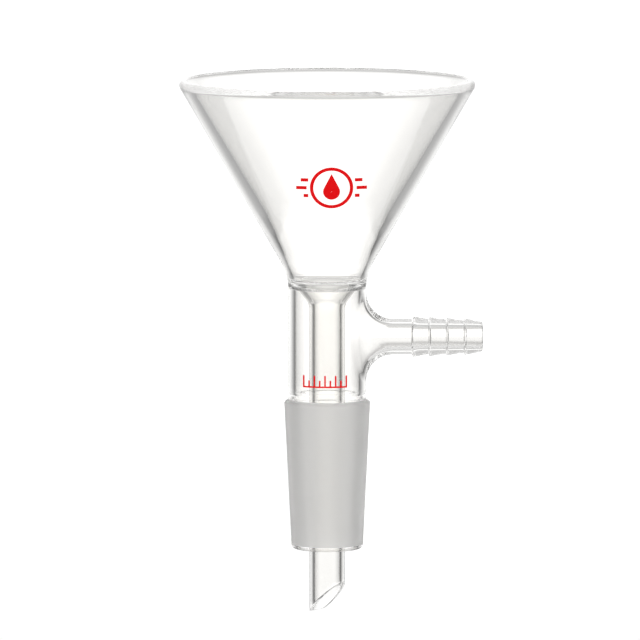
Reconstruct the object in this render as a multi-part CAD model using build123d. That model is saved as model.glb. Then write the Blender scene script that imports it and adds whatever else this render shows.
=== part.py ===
from build123d import *
import math
import os

# A vacuum filter funnel of borosilicate glass, with a 24/40 ground joint and a hose side arm.
# Millimetres. The origin is the centre of the joint's gauge plane, where its taper is 24 mm across.
# +Z runs up the axis to the bowl's rim, and +X runs out along the side arm.

# Ground joint: a standard taper, 24 mm at its large end, 40 mm long, 1 in 10 on the diameter.
JOINT_R = 12.0
JOINT_LENGTH = 40.0
TAPER = 0.05
JOINT_WALL = 1.7
JOINT_END_Z = -41.2
SHOULDER_Z = 0.8
SHOULDER_INNER_Z = -0.2

# Vacuum jacket: the 22 mm tube that joins the bowl to the ground joint.
JACKET_R = 11.0
JACKET_WALL = 2.1
JACKET_BORE_R = JACKET_R - JACKET_WALL
WELD_Z = 2.4
WELD_R = 10.6
WELD_BLEND_Z = 1.0
JACKET_TOP_Z = 32.1

# Side arm, on a boss drawn out of the jacket's wall.
ARM_Z = 18.35
ARM_R = 5.0
ARM_BORE_R = 2.9
BOSS_BLEND = 7.4
BOSS_END_X = 19.0
ARM_END_X = 23.6

# Hose connection: cones that get smaller towards the free end, each with a steep back face. Its bore
# is narrower than the arm's, and opens out to meet it.
BARB_CREST_X = (24.0, 28.55, 33.4, 38.4)
BARB_CREST_R = (5.7, 5.5, 5.3, 5.15)
BARB_VALLEY_R = (4.95, 4.8, 4.5)
BARB_BACK = 0.3
BARB_ROUND = 0.18
HOSE_BORE_R = 2.55
HOSE_THROAT_X = 25.0
HOSE_THROAT_ROUND = 2.0
HOSE_END_X = 43.5
HOSE_END_R = 4.15
HOSE_END_ROUND = 0.6

# Drip stem: a 10 mm tube, flared at the top and cut on a slant at the bottom.
STEM_R = 5.0
STEM_BORE_R = 3.57
STEM_WALL = STEM_R - STEM_BORE_R
FLARE_TOP_Z = 32.5
FLARE_BORE_R = 6.85
FLARE_SLOPE = 0.72
FLARE_BLEND = 2.5
TIP_MIDDLE_Z = -55.5
TIP_END_Z = -59.1
TIP_SLANT_DEG = 46.0
TIP_TURN_DEG = -33.5
TIP_HEEL = 2.5
TIP_ROUND = 0.35

# Ring seal: the web that closes the jacket, carries the bowl and holds the drip stem.
SEAL_TOP_Z = 35.4
FLOOR_ROUND = 1.1
WEB_DROP = 0.3
WEB_ROUND = 0.6

# Bowl: a 60 degree cone with a fire-polished rim. Its wall starts at the top of the ring seal.
CONE_APEX_Z = 16.8
CONE_HALF_DEG = 30.0
NECK_BLEND = 14.0
RIM_R = 41.4
RIM_Z = 90.4
RIM_INNER_ROUND = 0.5
INNER_CONE_R = 18.4
INNER_CONE_Z = 55.5
INNER_CONE_SLOPE = 0.602
INNER_NECK_R = 9.56
INNER_NECK_SLOPE = 0.302
INNER_NECK_BLEND = 70.0

# Fired ceramic marks: a plain drop-in-a-ring emblem on the bowl, and a plain scale on the jacket.
PRINT_THICKNESS = 0.1
EMBLEM_X = 1.2
EMBLEM_Z = 62.6
EMBLEM_RING_R = 6.0
EMBLEM_LINE = 0.95
DROP_R = 2.35
DROP_LIFT = 1.1
DROP_TIP = 4.1
BAR_GAP = 0.9
BAR_LENGTHS = (2.9, 2.1, 1.3)
BAR_PITCH = 2.3
BAR_HEIGHT = 0.95
SCALE_X = -0.6
SCALE_Z = 6.8
SCALE_WIDTH = 12.3
SCALE_HEIGHT = 3.4
SCALE_LINE = 0.45
SCALE_TICKS = 9
SCALE_SHORT = 0.6


def lathe(points, rounds):
    """Solid of revolution about Z, from (radius, height) corners and the rounding at each corner."""
    outline = Plane.XZ * FilletPolyline(points, radius=rounds, close=True)
    return revolve(make_face(outline), axis=Axis.Z)


def joint_radius(z):
    """Outer radius of the ground taper at a height."""
    return JOINT_R + TAPER * z


def cone_radius(z):
    """Outer radius of the bowl's cone at a height."""
    return (z - CONE_APEX_Z) * math.tan(math.radians(CONE_HALF_DEG))


def cone_height(radius):
    """Height at which the bowl's outer cone has a radius."""
    return CONE_APEX_Z + radius / math.tan(math.radians(CONE_HALF_DEG))


def inner_cone_radius(z):
    """Inner radius of the bowl's cone at a height."""
    return INNER_CONE_R + INNER_CONE_SLOPE * (z - INNER_CONE_Z)


def neck_radius(z):
    """Outer radius in the blend that runs from the jacket's top into the cone."""
    rise = z - JACKET_TOP_Z
    return JACKET_R + NECK_BLEND - math.sqrt(NECK_BLEND**2 - rise**2)


def make_ground_joint():
    end_r = joint_radius(-JOINT_LENGTH)
    bore_end_r = end_r - JOINT_WALL
    bore_top_r = joint_radius(SHOULDER_INNER_Z) - JOINT_WALL
    corners = [
        (JACKET_BORE_R, WELD_Z),
        (WELD_R, WELD_Z),
        (JACKET_R, WELD_Z - WELD_BLEND_Z),
        (JACKET_R, SHOULDER_Z),
        (JOINT_R, 0.0),
        (end_r, -JOINT_LENGTH),
        (end_r - 0.06, JOINT_END_Z),
        (bore_end_r, JOINT_END_Z),
        (bore_top_r, SHOULDER_INNER_Z),
    ]
    rounds = [0, 0, 0.8, 0.25, 0.25, 0, 1.1, 0.4, 1.5]
    return lathe(corners, rounds)


def tee(body_r, arm_r, blend, low_z, high_z, reach):
    """Two round bars joined like a T, with a rolling-ball blend between them."""
    upright = Pos(0, 0, low_z) * Cylinder(body_r, high_z - low_z, align=(Align.CENTER, Align.CENTER, Align.MIN))
    arm = Pos(0, 0, ARM_Z) * Rot(0, 90, 0) * Cylinder(arm_r, reach, align=(Align.CENTER, Align.CENTER, Align.MIN))
    joined = upright + arm
    straight = (GeomType.LINE, GeomType.CIRCLE)
    crotch = [edge for edge in joined.edges() if edge.geom_type not in straight]
    return fillet(crotch, blend)


def make_vacuum_jacket():
    waist_top = WELD_Z + WELD_BLEND_Z
    outside = tee(JACKET_R, ARM_R, BOSS_BLEND, waist_top, JACKET_TOP_Z, BOSS_END_X)
    waist = lathe([(0, WELD_Z), (WELD_R, WELD_Z), (JACKET_R, waist_top), (0, waist_top)], [0, 0, 0, 0])
    inside = tee(JACKET_BORE_R, ARM_BORE_R, BOSS_BLEND + ARM_R - ARM_BORE_R,
                 WELD_Z - 5, JACKET_TOP_Z + 5, BOSS_END_X + 5)
    return outside + waist - inside


def around_arm(points, rounds):
    """Solid of revolution about the side arm's axis, from (distance out, radius) corners."""
    placed = [(x, ARM_Z + r) for x, r in points]
    outline = Plane.XZ * FilletPolyline(placed, radius=rounds, close=True)
    return revolve(make_face(outline), axis=Axis((0, 0, ARM_Z), (1, 0, 0)))


def make_side_arm():
    corners = [
        (BOSS_END_X, ARM_BORE_R),
        (BOSS_END_X, ARM_R),
        (ARM_END_X, ARM_R),
        (ARM_END_X, ARM_BORE_R),
    ]
    return around_arm(corners, [0, 0, 0, 0])


def make_hose_connection():
    corners = [(ARM_END_X, ARM_BORE_R), (ARM_END_X, ARM_R)]
    rounds = [0, 0]
    for number, (x, crest) in enumerate(zip(BARB_CREST_X, BARB_CREST_R)):
        if number:
            corners.append((x - BARB_BACK, BARB_VALLEY_R[number - 1]))
            rounds.append(BARB_ROUND)
        corners.append((x, crest))
        rounds.append(BARB_ROUND)
    corners += [(HOSE_END_X, HOSE_END_R), (HOSE_END_X, HOSE_BORE_R), (HOSE_THROAT_X, HOSE_BORE_R)]
    rounds += [HOSE_END_ROUND, HOSE_END_ROUND / 2, HOSE_THROAT_ROUND]
    return around_arm(corners, rounds)


def stem_lip():
    """The outer corner of the flare's end, square to its wall."""
    across = 1 / math.hypot(1, FLARE_SLOPE)
    return FLARE_BORE_R + STEM_WALL * across, FLARE_TOP_Z - STEM_WALL * across * FLARE_SLOPE


def make_drip_stem():
    lip_r, lip_z = stem_lip()
    bore_bend_z = FLARE_TOP_Z - (FLARE_BORE_R - STEM_BORE_R) / FLARE_SLOPE
    bend_z = lip_z - (lip_r - STEM_R) / FLARE_SLOPE
    blank_z = TIP_END_Z - 5
    corners = [
        (STEM_BORE_R, blank_z),
        (STEM_R, blank_z),
        (STEM_R, bend_z),
        (lip_r, lip_z),
        (FLARE_BORE_R, FLARE_TOP_Z),
        (STEM_BORE_R, bore_bend_z),
    ]
    tube = lathe(corners, [0, 0, FLARE_BLEND + STEM_WALL, 0, 0, FLARE_BLEND])
    stem = tube - tip_cutter()
    cut_edges = [edge for edge in stem.edges() if edge.center().Z < TIP_MIDDLE_Z + 2 * STEM_R
                 and edge.geom_type != GeomType.LINE]
    return fillet(cut_edges, TIP_ROUND)


def tip_cutter():
    """What is cut away below the slanted tip. The slant ends in a heel, polished off level."""
    slope = math.tan(math.radians(TIP_SLANT_DEG))
    heel_x = (TIP_END_Z - TIP_MIDDLE_Z) / slope
    reach = 30
    corners = [
        (-reach, TIP_END_Z),
        (heel_x, TIP_END_Z),
        (reach, TIP_MIDDLE_Z + reach * slope),
        (reach, TIP_END_Z - reach),
        (-reach, TIP_END_Z - reach),
    ]
    profile = Plane.XZ * FilletPolyline(corners, radius=[0, TIP_HEEL, 0, 0, 0], close=True)
    return Rot(0, 0, TIP_TURN_DEG) * extrude(make_face(profile), amount=reach, both=True)


def make_ring_seal():
    lip_r, lip_z = stem_lip()
    top_r = neck_radius(SEAL_TOP_Z)
    under_z = JACKET_TOP_Z - WEB_DROP
    floor_r = INNER_NECK_R - FLOOR_ROUND
    floor_z = SEAL_TOP_Z - FLOOR_ROUND
    with BuildLine(Plane.XZ) as section:
        RadiusArc((JACKET_R, JACKET_TOP_Z), (top_r, SEAL_TOP_Z), NECK_BLEND)
        Line((top_r, SEAL_TOP_Z), (INNER_NECK_R, SEAL_TOP_Z))
        RadiusArc((INNER_NECK_R, SEAL_TOP_Z), (floor_r, floor_z), FLOOR_ROUND)
        Spline((floor_r, floor_z), (FLARE_BORE_R, FLARE_TOP_Z), tangents=((-1, 0), (-FLARE_SLOPE, -1)))
        Line((FLARE_BORE_R, FLARE_TOP_Z), (lip_r, lip_z))
        RadiusArc((lip_r, lip_z), (JACKET_BORE_R, under_z), WEB_ROUND)
        Line((JACKET_BORE_R, under_z), (JACKET_BORE_R, JACKET_TOP_Z))
        Line((JACKET_BORE_R, JACKET_TOP_Z), (JACKET_R, JACKET_TOP_Z))
    return revolve(make_face(section.line), axis=Axis.Z)


def rim_round():
    """The rounding of the rim's outer corner that leaves the rim its outer radius."""
    half_turn = math.radians(90 - CONE_HALF_DEG)
    return (cone_radius(RIM_Z) - RIM_R) / (math.tan(half_turn) - 1)


def make_bowl():
    blank_z = SEAL_TOP_Z - 8
    neck_slope = INNER_NECK_SLOPE
    # The inner neck and the inner cone meet where both lines have the same radius.
    bend_z = (INNER_NECK_R - neck_slope * SEAL_TOP_Z - INNER_CONE_R + INNER_CONE_SLOPE * INNER_CONE_Z)
    bend_z /= INNER_CONE_SLOPE - neck_slope
    corners = [
        (INNER_NECK_R + neck_slope * (blank_z - SEAL_TOP_Z), blank_z),
        (JACKET_R, blank_z),
        (JACKET_R, cone_height(JACKET_R)),
        (cone_radius(RIM_Z), RIM_Z),
        (inner_cone_radius(RIM_Z), RIM_Z),
        (inner_cone_radius(bend_z), bend_z),
    ]
    rounds = [0, 0, NECK_BLEND, rim_round(), RIM_INNER_ROUND, INNER_NECK_BLEND]
    below = Pos(0, 0, SEAL_TOP_Z) * Cylinder(20, 20, align=(Align.CENTER, Align.CENTER, Align.MAX))
    return lathe(corners, rounds) - below


def skin(low_z, high_z, low_r, high_r, slope_deg):
    """A thin layer of print on a surface of revolution, from its radii at two heights."""
    out = PRINT_THICKNESS / math.cos(math.radians(slope_deg))
    corners = [(low_r, low_z), (low_r + out, low_z), (high_r + out, high_z), (high_r, high_z)]
    return lathe(corners, [0, 0, 0, 0])


def printed(pattern, layer):
    """The part of a layer that lies behind a pattern, seen from -Y."""
    front = extrude(pattern, amount=60)
    return Part(children=[solid for solid in (front & layer).solids()])


def emblem_pattern():
    """A drop inside a ring, with three bars on each side."""
    ring = Circle(EMBLEM_RING_R) - Circle(EMBLEM_RING_R - EMBLEM_LINE)
    bulb = Pos(0, -DROP_LIFT) * Circle(DROP_R)
    # The drop's straight sides touch the bulb where they are square to its radius.
    reach = DROP_TIP + DROP_LIFT
    touch_y = -DROP_LIFT + DROP_R**2 / reach
    touch_x = DROP_R * math.sqrt(1 - (DROP_R / reach) ** 2)
    point = make_face(Polyline((0, DROP_TIP), (-touch_x, touch_y), (touch_x, touch_y), close=True))
    pattern = ring + bulb + point
    for row, length in zip((0, 1, -1), BAR_LENGTHS):
        y = row * BAR_PITCH
        start = math.sqrt(EMBLEM_RING_R**2 - y**2) + BAR_GAP
        for side in (-1, 1):
            pattern += Pos(side * (start + length / 2), y) * Rectangle(length, BAR_HEIGHT)
    return Plane.XZ * (Pos(EMBLEM_X, EMBLEM_Z) * pattern)


def make_bowl_emblem():
    low_z = EMBLEM_Z - 1.5 * EMBLEM_RING_R
    high_z = EMBLEM_Z + 1.5 * EMBLEM_RING_R
    return printed(emblem_pattern(), skin(low_z, high_z, cone_radius(low_z), cone_radius(high_z), CONE_HALF_DEG))


def scale_pattern():
    """A base line with long and short ticks in turn."""
    base_y = -(SCALE_HEIGHT - SCALE_LINE) / 2
    pattern = Pos(0, base_y) * Rectangle(SCALE_WIDTH, SCALE_LINE)
    pitch = (SCALE_WIDTH - SCALE_LINE) / (SCALE_TICKS - 1)
    for tick in range(SCALE_TICKS):
        x = (tick - (SCALE_TICKS - 1) / 2) * pitch
        height = SCALE_HEIGHT * (1.0 if tick % 2 == 0 else SCALE_SHORT)
        pattern += Pos(x, -SCALE_HEIGHT / 2 + height / 2) * Rectangle(SCALE_LINE, height)
    return Plane.XZ * (Pos(SCALE_X, SCALE_Z) * pattern)


def make_scale_mark():
    return printed(scale_pattern(), skin(SCALE_Z - SCALE_HEIGHT / 2 - 1, SCALE_Z + SCALE_HEIGHT, JACKET_R, JACKET_R, 0))


os.makedirs("parts", exist_ok=True)
pieces = {
    "bowl": make_bowl(),
    "ring_seal": make_ring_seal(),
    "drip_stem": make_drip_stem(),
    "vacuum_jacket": make_vacuum_jacket(),
    "side_arm": make_side_arm(),
    "hose_connection": make_hose_connection(),
    "ground_joint": make_ground_joint(),
    "bowl_emblem": make_bowl_emblem(),
    "scale_mark": make_scale_mark(),
}
for name, piece in pieces.items():
    export_step(piece, f"parts/{name}.step")
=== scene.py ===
import math

import bmesh
import bpy
from mathutils import Matrix, Vector
from mathutils.geometry import interpolate_bezier


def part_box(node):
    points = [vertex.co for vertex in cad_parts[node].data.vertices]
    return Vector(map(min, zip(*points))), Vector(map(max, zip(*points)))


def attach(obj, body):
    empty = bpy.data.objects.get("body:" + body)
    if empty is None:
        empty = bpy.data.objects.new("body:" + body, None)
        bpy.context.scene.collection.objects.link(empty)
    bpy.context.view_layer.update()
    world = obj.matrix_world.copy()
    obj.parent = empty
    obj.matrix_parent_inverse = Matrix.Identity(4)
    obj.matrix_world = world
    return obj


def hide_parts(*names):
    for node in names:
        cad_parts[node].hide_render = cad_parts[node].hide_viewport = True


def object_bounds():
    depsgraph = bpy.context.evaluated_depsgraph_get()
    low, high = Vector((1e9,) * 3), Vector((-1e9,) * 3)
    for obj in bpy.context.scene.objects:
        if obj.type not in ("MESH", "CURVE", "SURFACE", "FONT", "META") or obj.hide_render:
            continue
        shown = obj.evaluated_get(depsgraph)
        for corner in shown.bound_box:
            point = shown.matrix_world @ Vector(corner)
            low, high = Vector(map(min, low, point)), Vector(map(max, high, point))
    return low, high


# The funnel is fused glass. Every CAD piece is rebuilt as a closed, smooth piece of its own, and the
# faces where two pieces meet carry a see-through seam material, so light runs from one into the next.
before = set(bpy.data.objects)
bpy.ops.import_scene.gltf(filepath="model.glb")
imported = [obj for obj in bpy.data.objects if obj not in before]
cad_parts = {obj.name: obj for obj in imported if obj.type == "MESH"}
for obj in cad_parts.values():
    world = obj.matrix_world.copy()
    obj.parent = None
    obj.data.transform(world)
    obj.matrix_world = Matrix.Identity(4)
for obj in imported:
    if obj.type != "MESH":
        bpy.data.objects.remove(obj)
cad_low, cad_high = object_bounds()

MM = 0.001
SEGMENTS = 256
ARC_STEP = math.radians(6)
NECK_STEP = math.radians(2)
CUP_FLOOR_STEPS = 12
# Edges that turn by more than this stay sharp.
HARD_TURN = math.radians(25)
# Places of the three materials in the list that every glass piece carries.
CLEAR, FUSED, GROUND = 0, 1, 2


# ---------------------------------------------------------------- sizes, in millimetres


def low(node):
    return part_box(node)[0] / MM


def high(node):
    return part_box(node)[1] / MM


JOINT_R = 12.0
JOINT_TAPER = 0.05
JOINT_LENGTH = 40.0
JOINT_WALL = 1.7
JOINT_END_Z = low("ground_joint").z
SHOULDER_Z = 0.8
SHOULDER_INNER_Z = -0.2
SHOULDER_ROUND = 0.25
SHOULDER_INNER_ROUND = 1.5
JOINT_END_INSET = 0.06
JOINT_END_ROUND = 1.1
JOINT_MOUTH_ROUND = 0.4

JACKET_R = 11.0
JACKET_BORE_R = 8.9
JACKET_TOP_Z = high("vacuum_jacket").z
WELD_R = 10.6
WELD_Z = low("vacuum_jacket").z
WAIST_HALF = 1.0
WAIST_ROUND = 0.8

ARM_Z = (low("side_arm").z + high("side_arm").z) / 2
ARM_R = high("side_arm").y
ARM_BORE_R = 2.9
ARM_END_X = high("side_arm").x
BOSS_BLEND = 7.4
BOSS_END_X = high("vacuum_jacket").x

BARB_CREST_X = (24.0, 28.55, 33.4, 38.4)
BARB_CREST_R = (5.7, 5.5, 5.3, 5.15)
BARB_VALLEY_R = (4.95, 4.8, 4.5)
BARB_BACK = 0.3
BARB_ROUND = 0.18
HOSE_BORE_R = 2.55
HOSE_THROAT_X = 25.0
HOSE_THROAT_ROUND = 2.0
HOSE_END_X = high("hose_connection").x
HOSE_END_R = 4.15
HOSE_END_ROUND = 0.6

STEM_R = 5.0
STEM_BORE_R = 3.57
STEM_WALL = STEM_R - STEM_BORE_R
FLARE_TOP_Z = high("drip_stem").z
FLARE_BORE_R = 6.85
FLARE_SLOPE = 0.72
FLARE_BLEND = 2.5
TIP_SLOPE = math.tan(math.radians(46.0))
TIP_TURN = math.radians(-33.5)
TIP_HEEL = 2.5
TIP_ROUND = 0.35
TIP_END_Z = low("drip_stem").z
TIP_RISE = 3.6
TIP_MIDDLE_Z = TIP_END_Z + TIP_RISE
TIP_FADE = 13.0

SEAL_TOP_Z = low("bowl").z
CUP_ROUND = 1.1
CUP_HANDLE = 1.15
FLARE_HANDLE = 0.7
WEB_DROP = 0.3
WEB_ROUND = 0.6

CONE_APEX_Z = 16.8
CONE_SLOPE = math.tan(math.radians(30.0))
NECK_BLEND = 14.0
RIM_R = high("bowl").x
RIM_Z = high("bowl").z
RIM_INNER_ROUND = 0.5
INNER_CONE_R = 18.4
INNER_CONE_Z = 55.5
INNER_CONE_SLOPE = 0.602
INNER_NECK_R = 9.56
INNER_NECK_SLOPE = 0.302
INNER_NECK_BLEND = 70.0

EMBLEM_X = 1.2
EMBLEM_Z = (low("bowl_emblem").z + high("bowl_emblem").z) / 2
EMBLEM_RING_R = 6.0
EMBLEM_LINE = 0.95
DROP_R = 2.35
DROP_LIFT = 1.1
DROP_TIP = 4.1
BAR_GAP = 0.9
BAR_LENGTHS = (2.9, 2.1, 1.3)
BAR_PITCH = 2.3
BAR_HEIGHT = 0.95
SCALE_X = -0.6
SCALE_Z = (low("scale_mark").z + high("scale_mark").z) / 2
SCALE_WIDTH = 12.3
SCALE_HEIGHT = 3.4
SCALE_LINE = 0.45
SCALE_TICKS = 9
SCALE_SHORT = 0.6
PRINT_UNDER = 0.01
PRINT_OVER = 0.06
PRINT_STEP = 0.3


def cone_radius(z):
    """Outer radius of the bowl's cone at a height."""
    return (z - CONE_APEX_Z) * CONE_SLOPE


# ---------------------------------------------------------------- outlines


def outline(corners, step=1.5):
    """Points and strip surfaces of a closed outline, from (radius, height, rounding, surface) corners."""
    points, surfaces = [], []
    for index, (r, z, rounding, surface) in enumerate(corners):
        here = Vector((r, z))
        into = (here - Vector(corners[index - 1][:2])).normalized()
        out = (Vector(corners[(index + 1) % len(corners)][:2]) - here).normalized()
        turn = math.atan2(into.x * out.y - into.y * out.x, into.dot(out))
        if not rounding:
            points.append(here)
            surfaces.append(surface)
            continue
        spoke = Vector((into.y, -into.x)) * math.copysign(rounding, turn)
        centre = here - into * rounding * math.tan(abs(turn) / 2) - spoke
        steps = max(3, math.ceil(abs(turn) / ARC_STEP))
        for k in range(steps + 1):
            points.append(centre + Matrix.Rotation(turn * k / steps, 2) @ spoke)
            surfaces.append(surface)
    fine_points, fine_surfaces = [], []
    for index, (point, surface) in enumerate(zip(points, surfaces)):
        after = points[(index + 1) % len(points)]
        parts = max(1, math.ceil((after - point).length / step))
        for k in range(parts):
            fine_points.append(point.lerp(after, k / parts))
            fine_surfaces.append(surface)
    return fine_points, fine_surfaces


def arc(start, end, radius):
    """Corners along a short arc that has its centre on the right of the way along."""
    start, end = Vector(start), Vector(end)
    half = (end - start) / 2
    turn = -2 * math.asin(half.length / radius)
    aside = Vector((half.y, -half.x)).normalized() * math.sqrt(radius**2 - half.length_squared)
    centre = start + half + aside
    steps = math.ceil(abs(turn) / ARC_STEP)
    points = [centre + Matrix.Rotation(turn * k / steps, 2) @ (start - centre) for k in range(steps + 1)]
    return [(p.x, p.y, 0, CLEAR) for p in points]


def neck_arc(from_z, to_z):
    """Corners up the blend that leads from the jacket's wall into the bowl's cone."""
    start = math.asin((from_z - JACKET_TOP_Z) / NECK_BLEND)
    stop = math.asin((to_z - JACKET_TOP_Z) / NECK_BLEND)
    steps = math.ceil((stop - start) / NECK_STEP)
    corners = []
    for k in range(steps + 1):
        turn = start + (stop - start) * k / steps
        r = JACKET_R + NECK_BLEND * (1 - math.cos(turn))
        corners.append((r, JACKET_TOP_Z + NECK_BLEND * math.sin(turn), 0, CLEAR))
    return corners


def stem_lip():
    """The outer corner of the flare's end, square to its wall."""
    across = STEM_WALL / math.hypot(1, FLARE_SLOPE)
    return FLARE_BORE_R + across, FLARE_TOP_Z - across * FLARE_SLOPE


def ground_joint_corners():
    end_r = JOINT_R - JOINT_TAPER * JOINT_LENGTH
    bore_top_r = JOINT_R + JOINT_TAPER * SHOULDER_INNER_Z - JOINT_WALL
    return [
        (JACKET_BORE_R, WELD_Z, 0, FUSED),
        (WELD_R, WELD_Z, 0, CLEAR),
        (JACKET_R, WELD_Z - WAIST_HALF, WAIST_ROUND, CLEAR),
        (JACKET_R, SHOULDER_Z, SHOULDER_ROUND, GROUND),
        (JOINT_R, 0.0, SHOULDER_ROUND, GROUND),
        (end_r, -JOINT_LENGTH, 0, CLEAR),
        (end_r - JOINT_END_INSET, JOINT_END_Z, JOINT_END_ROUND, CLEAR),
        (end_r - JOINT_WALL, JOINT_END_Z, JOINT_MOUTH_ROUND, CLEAR),
        (bore_top_r, SHOULDER_INNER_Z, SHOULDER_INNER_ROUND, CLEAR),
    ]


def drip_stem_corners():
    lip_r, lip_z = stem_lip()
    return [
        (STEM_BORE_R, TIP_MIDDLE_Z, TIP_ROUND, CLEAR),
        (STEM_R, TIP_MIDDLE_Z, TIP_ROUND, CLEAR),
        (STEM_R, lip_z - (lip_r - STEM_R) / FLARE_SLOPE, FLARE_BLEND + STEM_WALL, CLEAR),
        (lip_r, lip_z, 0, FUSED),
        (FLARE_BORE_R, FLARE_TOP_Z, 0, CLEAR),
        (STEM_BORE_R, FLARE_TOP_Z - (FLARE_BORE_R - STEM_BORE_R) / FLARE_SLOPE, FLARE_BLEND, CLEAR),
    ]


def ring_seal_corners():
    lip = stem_lip()
    side = neck_arc(JACKET_TOP_Z, SEAL_TOP_Z)
    cup_start = Vector((INNER_NECK_R, SEAL_TOP_Z))
    cup = arc(cup_start, cup_start - Vector((CUP_ROUND, CUP_ROUND)), CUP_ROUND)
    floor_start, floor_end = Vector(cup[-1][:2]), Vector((FLARE_BORE_R, FLARE_TOP_Z))
    start_handle = floor_start - Vector((CUP_HANDLE, 0))
    end_handle = floor_end + Vector((FLARE_SLOPE, 1)) * FLARE_HANDLE
    floor_curve = interpolate_bezier(floor_start, start_handle, end_handle, floor_end, CUP_FLOOR_STEPS)
    floor = [(p[0], p[1], 0, CLEAR) for p in floor_curve[1:]]
    web = arc(lip, (JACKET_BORE_R, JACKET_TOP_Z - WEB_DROP), WEB_ROUND)
    for run in (side, floor, web):
        run[-1] = run[-1][:3] + (FUSED,)
    return side + cup + floor + web + [(JACKET_BORE_R, JACKET_TOP_Z, 0, FUSED)]


def rim_round():
    """The rounding of the rim's outer corner that leaves the rim its outer radius."""
    return (cone_radius(RIM_Z) - RIM_R) / (1 / CONE_SLOPE - 1)


def bowl_corners():
    bend_z = INNER_NECK_R - INNER_NECK_SLOPE * SEAL_TOP_Z - INNER_CONE_R + INNER_CONE_SLOPE * INNER_CONE_Z
    bend_z /= INNER_CONE_SLOPE - INNER_NECK_SLOPE
    bend_r = INNER_NECK_R + INNER_NECK_SLOPE * (bend_z - SEAL_TOP_Z)
    rim_bore_r = INNER_CONE_R + INNER_CONE_SLOPE * (RIM_Z - INNER_CONE_Z)
    neck_top_z = JACKET_TOP_Z + NECK_BLEND * math.sin(math.atan(CONE_SLOPE))
    return [(INNER_NECK_R, SEAL_TOP_Z, 0, FUSED)] + neck_arc(SEAL_TOP_Z, neck_top_z) + [
        (cone_radius(RIM_Z), RIM_Z, rim_round(), CLEAR),
        (rim_bore_r, RIM_Z, RIM_INNER_ROUND, CLEAR),
        (bend_r, bend_z, INNER_NECK_BLEND, CLEAR),
    ]


def side_arm_corners():
    return [
        (ARM_BORE_R, BOSS_END_X, 0, FUSED),
        (ARM_R, BOSS_END_X, 0, CLEAR),
        (ARM_R, ARM_END_X, 0, FUSED),
        (ARM_BORE_R, ARM_END_X, 0, CLEAR),
    ]


def hose_connection_corners():
    corners = [(ARM_BORE_R, ARM_END_X, 0, FUSED), (ARM_R, ARM_END_X, 0, CLEAR)]
    for number, (x, crest) in enumerate(zip(BARB_CREST_X, BARB_CREST_R)):
        if number:
            corners.append((BARB_VALLEY_R[number - 1], x - BARB_BACK, BARB_ROUND, CLEAR))
        corners.append((crest, x, BARB_ROUND, CLEAR))
    corners.append((HOSE_END_R, HOSE_END_X, HOSE_END_ROUND, CLEAR))
    corners.append((HOSE_BORE_R, HOSE_END_X, HOSE_END_ROUND / 2, CLEAR))
    corners.append((HOSE_BORE_R, HOSE_THROAT_X, HOSE_THROAT_ROUND, CLEAR))
    return corners


# ---------------------------------------------------------------- meshes


def about_axis(r, along, angle):
    return Vector((r * math.cos(angle), r * math.sin(angle), along)) * MM


def about_arm(r, along, angle):
    return Vector((along, r * math.cos(angle), ARM_Z + r * math.sin(angle))) * MM


def tip_height(across):
    """Height of the stem's slanted end, which turns into a level heel at the bottom."""
    slant = math.atan(TIP_SLOPE)
    heel_start = (TIP_END_Z - TIP_MIDDLE_Z) / TIP_SLOPE - TIP_HEEL * math.tan(slant / 2)
    if across < heel_start:
        return TIP_END_Z
    if across < heel_start + TIP_HEEL * math.sin(slant):
        return TIP_END_Z + TIP_HEEL - math.sqrt(TIP_HEEL**2 - (across - heel_start) ** 2)
    return TIP_MIDDLE_Z + across * TIP_SLOPE


def slanted_tip(r, along, angle):
    """Slides the drip stem's square end along the stem, by more and more towards the end, into a slant."""
    weight = min(1.0, max(0.0, (TIP_MIDDLE_Z + TIP_FADE - along) / TIP_FADE))
    slide = tip_height(r * math.cos(angle - TIP_TURN)) - TIP_MIDDLE_Z
    return about_axis(r, along + slide * weight, angle)


def add_strip(bm, ring_a, ring_b, surface):
    """Quads between two closed rings of vertices."""
    for k in range(len(ring_a)):
        face = bm.faces.new((ring_a[k - 1], ring_a[k], ring_b[k], ring_b[k - 1]))
        face.material_index = surface


def as_piece(bm, name, materials):
    """A smooth object from a closed mesh, with its hard edges marked."""
    bmesh.ops.recalc_face_normals(bm, faces=bm.faces)
    if bm.calc_volume(signed=True) < 0:
        bmesh.ops.reverse_faces(bm, faces=bm.faces)
    for face in bm.faces:
        face.smooth = True
    for edge in bm.edges:
        surfaces = [face.material_index for face in edge.link_faces]
        at_seam = FUSED in surfaces and surfaces.count(FUSED) != len(surfaces)
        edge.smooth = not at_seam and edge.calc_face_angle(0.0) < HARD_TURN
    mesh = bpy.data.meshes.new(name)
    bm.to_mesh(mesh)
    bm.free()
    for material in materials:
        mesh.materials.append(material)
    piece = bpy.data.objects.new(name, mesh)
    bpy.context.scene.collection.objects.link(piece)
    return piece


def turned(name, corners, place, materials):
    """A ring-shaped piece: its closed outline, carried round an axis."""
    points, surfaces = outline(corners)
    bm = bmesh.new()
    angles = [2 * math.pi * k / SEGMENTS for k in range(SEGMENTS)]
    rings = [[bm.verts.new(place(p.x, p.y, angle)) for angle in angles] for p in points]
    for row, surface in enumerate(surfaces):
        add_strip(bm, rings[row], rings[(row + 1) % len(rings)], surface)
    return as_piece(bm, name, materials)


# How finely the jacket's skins are divided: round the half that faces the arm and the other half, up
# the side, from the side's edge to the foot of the boss, and up the boss's blend.
FRONT_STEPS = 128
BACK_STEPS = 96
SIDE_STEPS = 60
FIELD_ROWS = 14
BLEND_ROWS = 18


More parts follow.
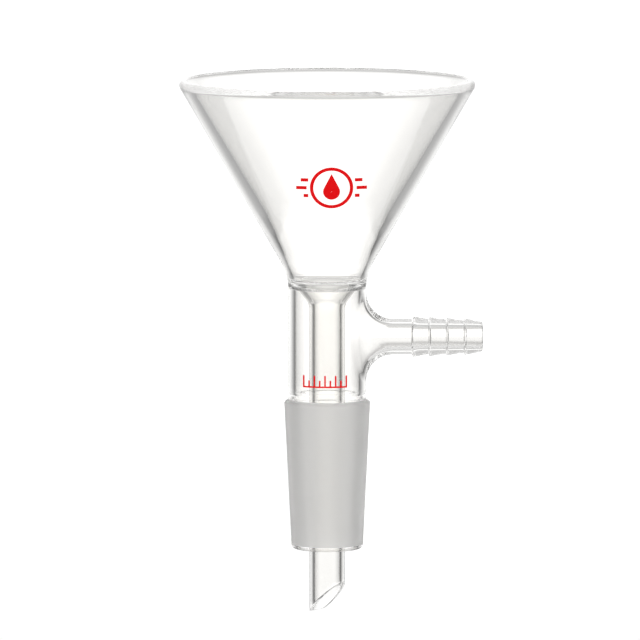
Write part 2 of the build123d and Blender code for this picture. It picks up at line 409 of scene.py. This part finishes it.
class TeeSkin:
    """One skin, inner or outer, of the jacket with the boss of its side arm, as an open tube with a branch.

    The half of the tube that faces the arm is laid out as rings, which start as a rectangle round the
    arm, shrink to the foot of the rolling-ball blend, and follow the blend out along the arm.
    """

    def __init__(self, bm, body_r, arm_r, blend, low_z, high_z):
        self.bm = bm
        self.body_r = body_r
        self.arm_r = arm_r
        self.blend = blend
        self.levels = [low_z + (high_z - low_z) * k / SIDE_STEPS for k in range(SIDE_STEPS + 1)]
        self.front = [-math.pi / 2 + math.pi * k / FRONT_STEPS for k in range(FRONT_STEPS + 1)]
        self.back = [math.pi / 2 + math.pi * k / BACK_STEPS for k in range(1, BACK_STEPS)]
        self.build()

    def wall(self, angle, z):
        return self.bm.verts.new(about_axis(self.body_r, z, angle))

    def blend_row(self, turn, t):
        """A point on the blend: t runs from 0 at the jacket to 1 at the arm, turn goes round the arm."""
        reach = self.body_r + self.blend
        ball_y = (self.arm_r + self.blend) * math.cos(turn)
        ball_z = (self.arm_r + self.blend) * math.sin(turn)
        ball_x = math.sqrt(reach**2 - ball_y**2)
        to_body = Vector((-ball_x, -ball_y, 0)) / reach
        to_arm = Vector((0, -math.cos(turn), -math.sin(turn)))
        spoke = to_body.slerp(to_arm, t) * self.blend
        return (Vector((ball_x, ball_y, ball_z + ARM_Z)) + spoke) * MM

    def build(self):
        low_z, high_z = self.levels[0], self.levels[-1]
        grid = {}
        edge = [(a, low_z) for a in self.front[:-1]]
        edge += [(self.front[-1], z) for z in self.levels[:-1]]
        edge += [(a, high_z) for a in reversed(self.front[1:])]
        edge += [(self.front[0], z) for z in reversed(self.levels[1:])]
        for place in edge:
            grid[place] = self.wall(*place)
        turns = [math.atan2(z - ARM_Z, self.body_r * a) for a, z in edge]
        rows = [[grid[place] for place in edge]]
        ball = self.arm_r + self.blend
        for k in range(1, FIELD_ROWS):
            share = k / FIELD_ROWS
            row = []
            for (angle, z), turn in zip(edge, turns):
                foot_angle = math.asin(ball * math.cos(turn) / (self.body_r + self.blend))
                foot_z = ARM_Z + ball * math.sin(turn)
                row.append(self.wall(angle + (foot_angle - angle) * share, z + (foot_z - z) * share))
            rows.append(row)
        for k in range(BLEND_ROWS + 1):
            rows.append([self.bm.verts.new(self.blend_row(turn, k / BLEND_ROWS)) for turn in turns])
        rows.append([self.bm.verts.new(about_arm(self.arm_r, BOSS_END_X, turn)) for turn in turns])
        for row, after in zip(rows, rows[1:]):
            add_strip(self.bm, row, after, CLEAR)
        self.arm_ring = rows[-1]
        left = [grid[(self.front[-1], z)] for z in self.levels]
        right = [grid[(self.front[0], z)] for z in self.levels]
        columns = [left] + [[self.wall(a, z) for z in self.levels] for a in self.back] + [right]
        for column, after in zip(columns, columns[1:]):
            for k in range(SIDE_STEPS):
                face = self.bm.faces.new((column[k], after[k], after[k + 1], column[k + 1]))
                face.material_index = CLEAR
        inner = columns[1:-1]
        self.low_ring = [grid[(a, low_z)] for a in self.front] + [c[0] for c in inner]
        self.high_ring = [grid[(a, high_z)] for a in self.front] + [c[-1] for c in inner]
        self.angles = self.front + self.back


def make_vacuum_jacket(materials):
    bm = bmesh.new()
    outer = TeeSkin(bm, JACKET_R, ARM_R, BOSS_BLEND, WELD_Z + WAIST_HALF, JACKET_TOP_Z)
    inner_blend = BOSS_BLEND + ARM_R - ARM_BORE_R
    inner = TeeSkin(bm, JACKET_BORE_R, ARM_BORE_R, inner_blend, WELD_Z, JACKET_TOP_Z - WEB_DROP)
    # The waist at the weld rises from the joint's edge to the jacket's wall in an easy curve.
    rings = [inner.low_ring]
    for share in (0.0, 0.25, 0.5, 0.75):
        r = WELD_R + (JACKET_R - WELD_R) * math.sin(share * math.pi / 2)
        rings.append([bm.verts.new(about_axis(r, WELD_Z + WAIST_HALF * share, a)) for a in outer.angles])
    rings.append(outer.low_ring)
    add_strip(bm, rings[0], rings[1], FUSED)
    for ring, after in zip(rings[1:], rings[2:]):
        add_strip(bm, ring, after, CLEAR)
    inner_top = [bm.verts.new(about_axis(JACKET_BORE_R, JACKET_TOP_Z, a)) for a in outer.angles]
    add_strip(bm, outer.high_ring, inner_top, FUSED)
    add_strip(bm, inner_top, inner.high_ring, FUSED)
    add_strip(bm, outer.arm_ring, inner.arm_ring, FUSED)
    return as_piece(bm, "vacuum_jacket_glass", materials)


# ---------------------------------------------------------------- printed marks


def add_patch(bm, rows, wrap, closed):
    """A thin closed layer over a grid of flat (x, z) points, laid on the glass by wrap(x, z, lift)."""
    under = [[bm.verts.new(wrap(x, z, PRINT_UNDER)) for x, z in row] for row in rows]
    over = [[bm.verts.new(wrap(x, z, PRINT_OVER)) for x, z in row] for row in rows]
    width = len(rows[0])
    columns = range(width) if closed else range(1, width)
    for level in (under, over):
        for row, after in zip(level, level[1:]):
            for k in columns:
                bm.faces.new((row[k - 1], row[k], after[k], after[k - 1]))
    for end in (0, -1):
        for k in columns:
            bm.faces.new((under[end][k - 1], under[end][k], over[end][k], over[end][k - 1]))
    if not closed:
        for end in (0, -1):
            for row in range(1, len(rows)):
                a, b = under[row - 1][end], under[row][end]
                bm.faces.new((a, b, over[row][end], over[row - 1][end]))


def bar_rows(x, z, width, height):
    """Three rows of points across a bar, from its lower edge to its upper edge."""
    across = max(2, math.ceil(width / PRINT_STEP))
    columns = [x + width * (k / across - 0.5) for k in range(across + 1)]
    return [[(column, z + height * side) for column in columns] for side in (-0.5, 0.0, 0.5)]


def drop_outline(count=72):
    """A bulb with a point: two straight sides that touch the circle."""
    reach = DROP_TIP + DROP_LIFT
    touch = math.acos(DROP_R / reach)
    sweep = 2 * (math.pi - touch)
    points = [(0.0, DROP_TIP)]
    for k in range(count):
        angle = math.pi / 2 + touch + sweep * k / (count - 1)
        points.append((DROP_R * math.cos(angle), DROP_R * math.sin(angle) - DROP_LIFT))
    return points


def on_cone(x, z, lift):
    r = cone_radius(z) + lift / math.cos(math.atan(CONE_SLOPE))
    return Vector((x, -math.sqrt(r**2 - x**2), z)) * MM


def on_jacket(x, z, lift):
    r = JACKET_R + lift
    return Vector((x, -math.sqrt(r**2 - x**2), z)) * MM


def make_emblem(material):
    """A drop in a ring, with three bars on each side."""
    bm = bmesh.new()

    def patch(rows, closed):
        placed = [[(EMBLEM_X + x, EMBLEM_Z + z) for x, z in row] for row in rows]
        add_patch(bm, placed, on_cone, closed)

    angles = [2 * math.pi * k / 120 for k in range(120)]
    radii = [EMBLEM_RING_R - EMBLEM_LINE * share for share in (0.0, 0.5, 1.0)]
    patch([[(r * math.cos(a), r * math.sin(a)) for a in angles] for r in radii], True)
    rim = drop_outline()
    shares = (1.0, 0.75, 0.5, 0.25, 0.02)
    patch([[(x * s, (z + DROP_LIFT) * s - DROP_LIFT) for x, z in rim] for s in shares], True)
    for row, length in zip((0, 1, -1), BAR_LENGTHS):
        z = row * BAR_PITCH
        start = math.sqrt(EMBLEM_RING_R**2 - z**2) + BAR_GAP
        for side in (-1, 1):
            patch(bar_rows(side * (start + length / 2), z, length, BAR_HEIGHT), False)
    return as_piece(bm, "bowl_emblem_print", [material])


def make_scale(material):
    """A base line with long and short ticks in turn."""
    bm = bmesh.new()
    foot = SCALE_Z - SCALE_HEIGHT / 2
    add_patch(bm, bar_rows(SCALE_X, foot + SCALE_LINE / 2, SCALE_WIDTH, SCALE_LINE), on_jacket, False)
    pitch = (SCALE_WIDTH - SCALE_LINE) / (SCALE_TICKS - 1)
    for tick in range(SCALE_TICKS):
        x = SCALE_X + (tick - (SCALE_TICKS - 1) / 2) * pitch
        height = SCALE_HEIGHT * (1.0 if tick % 2 == 0 else SCALE_SHORT) - SCALE_LINE
        add_patch(bm, bar_rows(x, foot + SCALE_LINE + height / 2, SCALE_LINE, height), on_jacket, False)
    return as_piece(bm, "scale_mark_print", [material])


# ---------------------------------------------------------------- materials


def node_material(name):
    material = bpy.data.materials.new(name)
    material.use_nodes = True
    nodes = material.node_tree.nodes
    return material, nodes, material.node_tree.links, nodes["Principled BSDF"]


def noise_bump(nodes, links, shader, stretch, scale, strength, distance):
    """A fine relief of stretched noise, in the object's own coordinates."""
    place = nodes.new("ShaderNodeTexCoord")
    mapping = nodes.new("ShaderNodeMapping")
    mapping.inputs["Scale"].default_value = stretch
    noise = nodes.new("ShaderNodeTexNoise")
    noise.inputs["Scale"].default_value = scale
    noise.inputs["Detail"].default_value = 3.0
    bump = nodes.new("ShaderNodeBump")
    bump.inputs["Strength"].default_value = strength
    bump.inputs["Distance"].default_value = distance
    links.new(place.outputs["Object"], mapping.inputs["Vector"])
    links.new(mapping.outputs["Vector"], noise.inputs["Vector"])
    links.new(noise.outputs["Fac"], bump.inputs["Height"])
    links.new(bump.outputs["Normal"], shader.inputs["Normal"])


GLASS_IOR = 1.474


def clear_glass():
    material, nodes, links, shader = node_material("clear_glass")
    shader.inputs["Base Color"].default_value = (0.988, 0.983, 0.970, 1)
    shader.inputs["Roughness"].default_value = 0.0
    shader.inputs["IOR"].default_value = GLASS_IOR
    shader.inputs["Transmission Weight"].default_value = 1.0
    noise_bump(nodes, links, shader, (1, 1, 0.25), 160, 0.15, 0.00004)
    return material


def fused_seam():
    """Nothing at all to the light, because the glass runs on through a fused face."""
    material, _, _, shader = node_material("fused_seam")
    shader.inputs["Base Color"].default_value = (1, 1, 1, 1)
    shader.inputs["Alpha"].default_value = 0.0
    return material


def ground_glass():
    material, nodes, links, shader = node_material("ground_glass")
    shader.inputs["Base Color"].default_value = (0.99, 0.985, 0.975, 1)
    shader.inputs["Roughness"].default_value = 0.75
    shader.inputs["IOR"].default_value = GLASS_IOR
    shader.inputs["Transmission Weight"].default_value = 0.75
    noise_bump(nodes, links, shader, (1, 1, 3), 1500, 0.3, 0.00002)
    return material


def red_print():
    material, nodes, links, shader = node_material("red_print")
    shader.inputs["Base Color"].default_value = (0.8, 0.0, 0.002, 1)
    shader.inputs["Roughness"].default_value = 0.4
    shader.inputs["Specular IOR Level"].default_value = 0.1
    noise_bump(nodes, links, shader, (1, 1, 1), 2500, 0.2, 0.00001)
    return material


glass = clear_glass()
seam = fused_seam()
frosted = ground_glass()
red = red_print()
glass_set = [glass, seam, frosted]

# ---------------------------------------------------------------- the pieces

pieces = {
    "bowl": turned("bowl_glass", bowl_corners(), about_axis, glass_set),
    "ring_seal": turned("ring_seal_glass", ring_seal_corners(), about_axis, glass_set),
    "drip_stem": turned("drip_stem_glass", drip_stem_corners(), slanted_tip, glass_set),
    "vacuum_jacket": make_vacuum_jacket(glass_set),
    "side_arm": turned("side_arm_glass", side_arm_corners(), about_arm, glass_set),
    "hose_connection": turned("hose_connection_glass", hose_connection_corners(), about_arm, glass_set),
    "ground_joint": turned("ground_joint_glass", ground_joint_corners(), about_axis, glass_set),
    "bowl_emblem": make_emblem(red),
    "scale_mark": make_scale(red),
}
for node, piece in pieces.items():
    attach(piece, "root")
    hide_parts(node)

# ---------------------------------------------------------------- camera, light and floor

# The camera looks down a little, from far off, at the middle of a frame that is this wide, in metres.
CAMERA_DISTANCE = 3.0
CAMERA_TILT = math.radians(6.2)
FRAME_WIDTH = 0.1788
FRAME_CENTRE = Vector((-0.0020, 0.0, 0.0230))

camera_data = bpy.data.cameras.new("camera")
camera_data.sensor_width = 36.0
camera_data.lens = camera_data.sensor_width * CAMERA_DISTANCE / FRAME_WIDTH
camera_data.clip_end = 20.0
camera = bpy.data.objects.new("camera", camera_data)
bpy.context.scene.collection.objects.link(camera)
away = Vector((0, -math.cos(CAMERA_TILT), math.sin(CAMERA_TILT)))
camera.location = FRAME_CENTRE + away * CAMERA_DISTANCE
camera.rotation_euler = (-away).to_track_quat("-Z", "Y").to_euler()
bpy.context.scene.camera = camera

TENT_R = 4.5
TENT_STRENGTH = 1.3
# The tent's brightness by angle in degrees: up from straight behind the funnel, to either side of
# straight behind it, and to either side of straight ahead of it. The last two fade into each other
# over the range TENT_FADE, counted in tent radii towards the camera.
RISE_LEVELS = (
    (-180, 0.6), (-168, 0.35), (-150, 1.0), (-120, 1.0), (-80, 0.5), (-64, 0.36), (-48, 0.54), (-28, 0.54),
    (-20, 0.49), (-16, 0.43), (-12, 0.54), (-9.6, 0.66), (-7.3, 0.74), (-4, 0.78), (-2, 0.8), (-0.5, 0.96),
    (1, 1.0), (22, 0.94), (27, 0.64), (42, 0.46), (90, 0.6), (120, 1.0), (150, 1.0), (172, 0.9), (180, 0.6),
)
SIDE_LEVELS = (
    (0, 1.0), (8, 0.98), (20, 0.84), (30, 0.62), (40, 0.39), (50, 0.21), (60, 0.12), (90, 0.08),
)
FRONT_LEVELS = ((0, 1.0), (50, 1.0), (70, 0.75), (90, 0.25))
TENT_FADE = (-0.1, 0.3)


def light_tent():
    """A round tent of soft light about the object, which turns with the camera. Like a lit backdrop it is
    brightest straight behind the object, and dimmer to both sides, above and below."""
    bm = bmesh.new()
    bmesh.ops.create_uvsphere(bm, u_segments=64, v_segments=32, radius=TENT_R)
    mesh = bpy.data.meshes.new("light_tent")
    bm.to_mesh(mesh)
    bm.free()
    material = bpy.data.materials.new("tent_light")
    material.use_nodes = True
    nodes, links = material.node_tree.nodes, material.node_tree.links
    nodes.clear()

    def math_node(operation, first, second=None):
        node = nodes.new("ShaderNodeMath")
        node.operation = operation
        for socket, value in zip(node.inputs, (first, second)):
            if isinstance(value, (int, float)):
                socket.default_value = value
            elif value is not None:
                links.new(value, socket)
        return node.outputs["Value"]

    def level_ramp(value, stops):
        ramp = nodes.new("ShaderNodeValToRGB")
        links.new(value, ramp.inputs["Fac"])
        elements = ramp.color_ramp.elements
        while len(elements) < len(stops):
            elements.new(0.5)
        for element, (position, level) in zip(elements, sorted(stops)):
            element.position = position
            element.color = (level, level, level, 1)
        return ramp.outputs["Color"]

    place = nodes.new("ShaderNodeTexCoord")
    unit = nodes.new("ShaderNodeVectorMath")
    unit.operation = "NORMALIZE"
    split = nodes.new("ShaderNodeSeparateXYZ")
    links.new(place.outputs["Object"], unit.inputs[0])
    links.new(unit.outputs["Vector"], split.inputs["Vector"])
    # The tent has the camera's axes, so its last coordinate counts towards the camera.
    across, up, nearer = split.outputs
    # The way up or down from straight behind, as a share of a full turn, with 0.5 straight behind.
    turn = math_node("ARCTAN2", up, math_node("MULTIPLY", nearer, -1.0))
    rise = math_node("ADD", math_node("MULTIPLY", turn, 0.5 / math.pi), 0.5)
    upright = level_ramp(rise, [(0.5 + angle / 360, level) for angle, level in RISE_LEVELS])
    side_stops = [(math.sin(math.radians(angle)), level) for angle, level in SIDE_LEVELS]
    sideways = level_ramp(math_node("ABSOLUTE", across), side_stops)
    front_stops = [(math.sin(math.radians(angle)), level) for angle, level in FRONT_LEVELS]
    in_front = level_ramp(math_node("ABSOLUTE", across), front_stops)
    ahead = nodes.new("ShaderNodeMapRange")
    ahead.inputs["From Min"].default_value = TENT_FADE[0]
    ahead.inputs["From Max"].default_value = TENT_FADE[1]
    links.new(nearer, ahead.inputs["Value"])
    mix = nodes.new("ShaderNodeMix")
    mix.data_type = "RGBA"
    links.new(ahead.outputs["Result"], mix.inputs["Factor"])
    links.new(sideways, mix.inputs["A"])
    links.new(in_front, mix.inputs["B"])
    level = nodes.new("ShaderNodeVectorMath")
    level.operation = "MULTIPLY"
    links.new(upright, level.inputs[0])
    links.new(mix.outputs["Result"], level.inputs[1])
    glow = nodes.new("ShaderNodeEmission")
    out = nodes.new("ShaderNodeOutputMaterial")
    glow.inputs["Strength"].default_value = TENT_STRENGTH
    links.new(level.outputs["Vector"], glow.inputs["Color"])
    links.new(glow.outputs["Emission"], out.inputs["Surface"])
    mesh.materials.append(material)
    tent = bpy.data.objects.new("light_tent", mesh)
    bpy.context.scene.collection.objects.link(tent)
    return tent


tent = light_tent()
tent.parent = camera
tent.location = (0, 0, -CAMERA_DISTANCE)

# The floor lies below what the camera sees of the funnel. Both sizes are in metres.
PALE_FLOOR_R = 0.92
PALE_FLOOR_DROP = 0.63


def pale_floor():
    material, _, _, shader = node_material("pale_floor")
    shader.inputs["Base Color"].default_value = (0.98, 0.98, 0.98, 1)
    shader.inputs["Roughness"].default_value = 1.0
    bm = bmesh.new()
    bmesh.ops.create_circle(bm, cap_ends=True, segments=96, radius=PALE_FLOOR_R)
    mesh = bpy.data.meshes.new("pale_floor")
    bm.to_mesh(mesh)
    bm.free()
    mesh.materials.append(material)
    floor = bpy.data.objects.new("pale_floor", mesh)
    floor.location = (0, 0, cad_low[2] - PALE_FLOOR_DROP)
    bpy.context.scene.collection.objects.link(floor)
    return floor


pale_floor()

world = bpy.data.worlds.new("world")
world.use_nodes = True
world.node_tree.nodes["Background"].inputs["Color"].default_value = (0, 0, 0, 1)
bpy.context.scene.world = world

# Light runs a long way inside the glass walls before it comes out at the rim and the edges.
BOUNCES = 256

scene = bpy.context.scene
scene.view_settings.view_transform = "Standard"
scene.cycles.max_bounces = BOUNCES
scene.cycles.transmission_bounces = BOUNCES
scene.cycles.glossy_bounces = BOUNCES
scene.cycles.transparent_max_bounces = BOUNCES
